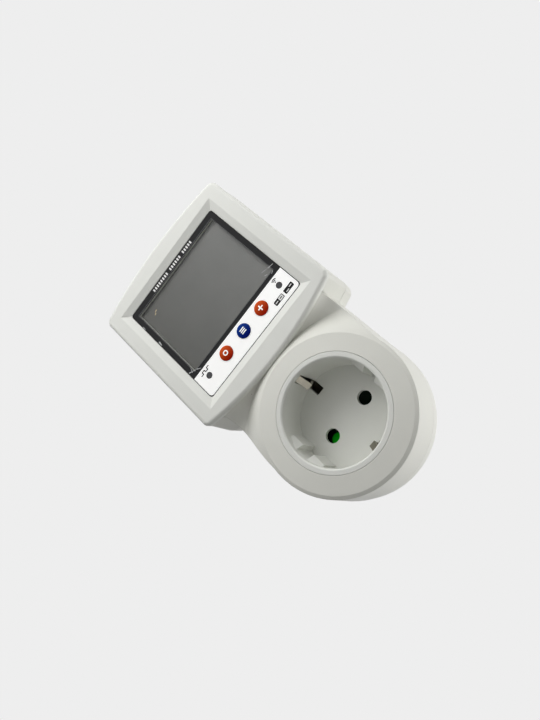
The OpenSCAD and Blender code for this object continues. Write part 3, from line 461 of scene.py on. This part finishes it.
# Three rows of plain bars on the dark border above the display
TITLE_SPAN = 26.6
TITLE_V = 25.75
BAR_W = 0.7
BAR_H = 1.4
ROWS = (8, 6, 5)
pitch = TITLE_SPAN / (sum(ROWS) + len(ROWS) - 1)
title = []
u = -TITLE_SPAN / 2
for count in ROWS:
    for k in range(count):
        title.append([rect(u, TITLE_V - BAR_H / 2, u + BAR_W, TITLE_V + BAR_H / 2)])
        u += pitch
    u += pitch
printed("border_bars", title, pale_ink)

# Thin pale line round the window, a painted highlight along the window's edge
VIEW = (-25.6, -13.95, 25.6, 24.45)
EDGE_W = 0.15
inner = rect(VIEW[0] + EDGE_W, VIEW[1] + EDGE_W, VIEW[2] - EDGE_W, VIEW[3] - EDGE_W)
printed("window_rim_highlight", [[rect(*VIEW), inner]], painted_edge_highlight)

# Scraps of a torn protective film round the display, and a spot of old glue
TAPER = 0.4


def sliver(u0, v0, u1, v1, width):
    """Thin scrap between two places, narrower at its far end."""
    along = Vector((u1 - u0, v1 - v0)).normalized()
    side = Vector((-along.y, along.x)) * width / 2
    return [
        (u0 + side.x, v0 + side.y), (u0 - side.x, v0 - side.y),
        (u1 - side.x * TAPER, v1 - side.y * TAPER), (u1 + side.x * TAPER, v1 + side.y * TAPER),
    ]


SCRAPS = [
    (21.7, -10.7, 24.3, -11.5, 0.22), (24.6, -11.6, 27.2, -12.2, 0.35), (25.1, -14.0, 23.8, -14.5, 0.35),
    (21.5, -12.6, 22.6, -13.2, 0.4), (-27.6, -12.3, -24.6, -13.7, 0.45), (-24.2, -13.9, -22.6, -15.2, 0.4),
    (-26.4, -13.4, -25.6, -11.4, 0.3), (-27.2, 8.2, -27.5, 6.1, 0.7), (-27.7, 19.1, -27.7, 17.4, 0.5),
]
GLUE = [(-18.2, 19.0, -19.5, 18.7, 0.6), (-19.4, 18.2, -20.4, 17.9, 0.6)]
printed("film_scraps", [[sliver(*scrap)] for scrap in SCRAPS], film, 1)
printed("glue_spot", [[sliver(*spot)] for spot in GLUE], glue, 1)

# Floor, far below the part, in the background's tone
BACKGROUND = linear(238)
FLOOR_LIFT = 0.55
FLOOR_HALF = 2.0
FLOOR_Z = -0.6


def seen_share(tree):
    """One where a surface is looked at, mirrored or seen through glass, and nought where it gives light."""
    path = tree.nodes.new("ShaderNodeLightPath")
    first = tree.nodes.new("ShaderNodeMath")
    first.operation = "MAXIMUM"
    second = tree.nodes.new("ShaderNodeMath")
    second.operation = "MAXIMUM"
    tree.links.new(path.outputs["Is Camera Ray"], first.inputs[0])
    tree.links.new(path.outputs["Is Glossy Ray"], first.inputs[1])
    tree.links.new(first.outputs["Value"], second.inputs[0])
    tree.links.new(path.outputs["Is Transmission Ray"], second.inputs[1])
    return second.outputs["Value"]


def floor_finish():
    """Pale paint, lifted to the background's tone where it is seen, which keeps its shadows."""
    pale = (BACKGROUND, BACKGROUND, BACKGROUND, 1)
    material = finish("floor_paint", pale, 0.7, mottle=0.01, Emission_Color=(1, 1, 1, 1))
    tree = material.node_tree
    lift = tree.nodes.new("ShaderNodeMath")
    lift.operation = "MULTIPLY"
    lift.inputs[1].default_value = FLOOR_LIFT
    tree.links.new(seen_share(tree), lift.inputs[0])
    tree.links.new(lift.outputs["Value"], tree.nodes["Principled BSDF"].inputs["Emission Strength"])
    return material


def floor_piece():
    """One wide flat face under the part."""
    mesh = bpy.data.meshes.new("floor")
    corners = [(x, y, FLOOR_Z) for x, y in rect(-FLOOR_HALF, -FLOOR_HALF, FLOOR_HALF, FLOOR_HALF)]
    mesh.from_pydata(corners, [], [(0, 1, 2, 3)])
    mesh.materials.append(floor_finish())
    piece = bpy.data.objects.new("floor", mesh)
    bpy.context.scene.collection.objects.link(piece)


floor_piece()

# Light: soft lamps above the front, at the right, and low behind, in a dim even room
ROOM = 0.24
LAMP_SIZE = 0.3
LAMP_AIM = Vector((0, -0.04, 0.05))
LAMPS = {
    "low_back_lamp": ((0.25, 0.15, -0.25), 0.98),
    "top_lamp": ((0, -0.25, 0.35), 0.7),
    "right_top_lamp": ((0.14, -0.22, 0.32), 0.4),
    "right_lamp": ((0.3, -0.2, 0.2), 0.3),
    "low_lamp": ((0.3, -0.03, -0.25), 0.22),
    "front_lamp": ((0, -0.38, 0.2), 0.15),
}


def make_world():
    """Dim even room for light, and a plain pale ground where it is seen or mirrored."""
    world = bpy.data.worlds.new("room")
    bpy.context.scene.world = world
    world.use_nodes = True
    tree = world.node_tree
    tree.nodes.clear()
    room = tree.nodes.new("ShaderNodeBackground")
    room.inputs["Strength"].default_value = ROOM
    seen = tree.nodes.new("ShaderNodeBackground")
    seen.inputs["Color"].default_value = (BACKGROUND, BACKGROUND, BACKGROUND, 1)
    mix = tree.nodes.new("ShaderNodeMixShader")
    out = tree.nodes.new("ShaderNodeOutputWorld")
    tree.links.new(seen_share(tree), mix.inputs["Fac"])
    tree.links.new(room.outputs["Background"], mix.inputs[1])
    tree.links.new(seen.outputs["Background"], mix.inputs[2])
    tree.links.new(mix.outputs["Shader"], out.inputs["Surface"])


make_world()
for name, (place, power) in LAMPS.items():
    lamp = bpy.data.lights.new(name, "AREA")
    lamp.size = LAMP_SIZE
    lamp.energy = power
    holder = bpy.data.objects.new(name, lamp)
    holder.location = place
    holder.rotation_euler = (LAMP_AIM - Vector(place)).to_track_quat("-Z", "Y").to_euler()
    holder.visible_glossy = False
    holder.visible_camera = False
    bpy.context.scene.collection.objects.link(holder)

# Camera, fitted to the photograph's frame
CAMERA_PLACE = Vector((36.25, -267.46, -74.75)) * MM
CAMERA_RIGHT = Vector((0.61154, 0.42841, -0.66519))
CAMERA_UP = Vector((0.77649, -0.16351, 0.60855))
CAMERA_LENS = 32.93
CAMERA_SENSOR = 36
CAMERA_NEAR = 0.01

camera_data = bpy.data.cameras.new("camera")
camera_data.sensor_width = CAMERA_SENSOR
camera_data.lens = CAMERA_LENS
camera_data.clip_start = CAMERA_NEAR
camera = bpy.data.objects.new("camera", camera_data)
turn = Matrix((CAMERA_RIGHT, CAMERA_UP, CAMERA_RIGHT.cross(CAMERA_UP))).transposed()
camera.matrix_world = Matrix.Translation(CAMERA_PLACE) @ turn.to_4x4()
bpy.context.scene.collection.objects.link(camera)
bpy.context.scene.camera = camera
bpy.context.scene.view_settings.view_transform = "Standard"
